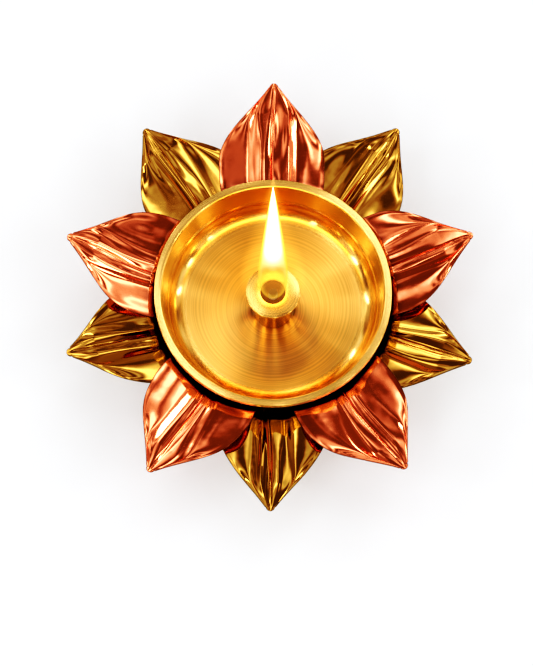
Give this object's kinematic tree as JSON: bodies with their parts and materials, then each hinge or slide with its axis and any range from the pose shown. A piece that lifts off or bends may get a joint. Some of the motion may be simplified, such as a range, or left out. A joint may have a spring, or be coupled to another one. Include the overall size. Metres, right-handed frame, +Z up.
{
  "type": "lotus oil lamp",
  "caption": "Small ritual oil lamp: a turned brass bowl with a lift-out wick holder, set in a flower of copper and brass sheet petals on a low foot.",
  "frame": {"origin": "centre of the foot's ground face, on the axis of the bowl", "axes": "+Z up along the bowl's axis, -Y towards the front petal"},
  "size_m": [0.1307, 0.1429, 0.0331],
  "materials": {
    "turned_brass": "turned, satin with fine rings",
    "polished_brass": "mirror polished sheet",
    "polished_copper": "mirror polished copper sheet",
    "plain_brass": "plain, lightly scratched",
    "steel": "plain zinc-coloured",
    "cotton": "twisted cotton, charred at the tip"
  },
  "bodies": {
    "lamp": {"foot": "plain_brass", "lower_petal_plate": "plain_brass", "petal_spacer": "plain_brass", "upper_petal_plate": "plain_brass", "brass_petal_front": "polished_brass", "brass_petal_right": "polished_brass", "brass_petal_back_right": "polished_brass", "brass_petal_back_left": "polished_brass", "brass_petal_left": "polished_brass", "copper_petal_back": "polished_copper", "copper_petal_right": "polished_copper", "copper_petal_front_right": "polished_copper", "copper_petal_front_left": "polished_copper", "copper_petal_left": "polished_copper", "brass_rivet_front": "plain_brass", "brass_rivet_right": "plain_brass", "brass_rivet_back_right": "plain_brass", "brass_rivet_back_left": "plain_brass", "brass_rivet_left": "plain_brass", "copper_rivet_back": "plain_brass", "copper_rivet_right": "plain_brass", "copper_rivet_front_right": "plain_brass", "copper_rivet_front_left": "plain_brass", "copper_rivet_left": "plain_brass", "bowl": "turned_brass", "clamp_washer": "steel", "clamp_screw": "steel"},
    "wick_holder": {"wick_holder": "turned_brass"},
    "wick": {"wick": "cotton"}
  },
  "joints": [
    {"name": "wick_holder_lift", "type": "slide", "parent": "lamp", "child": "wick_holder", "axis": [0, 0, 1], "range_m": [0, 0.02]},
    {"name": "wick_slide", "type": "slide", "parent": "wick_holder", "child": "wick", "axis": [0, 0, 1], "range_m": [0, 0.008]}
  ]
}
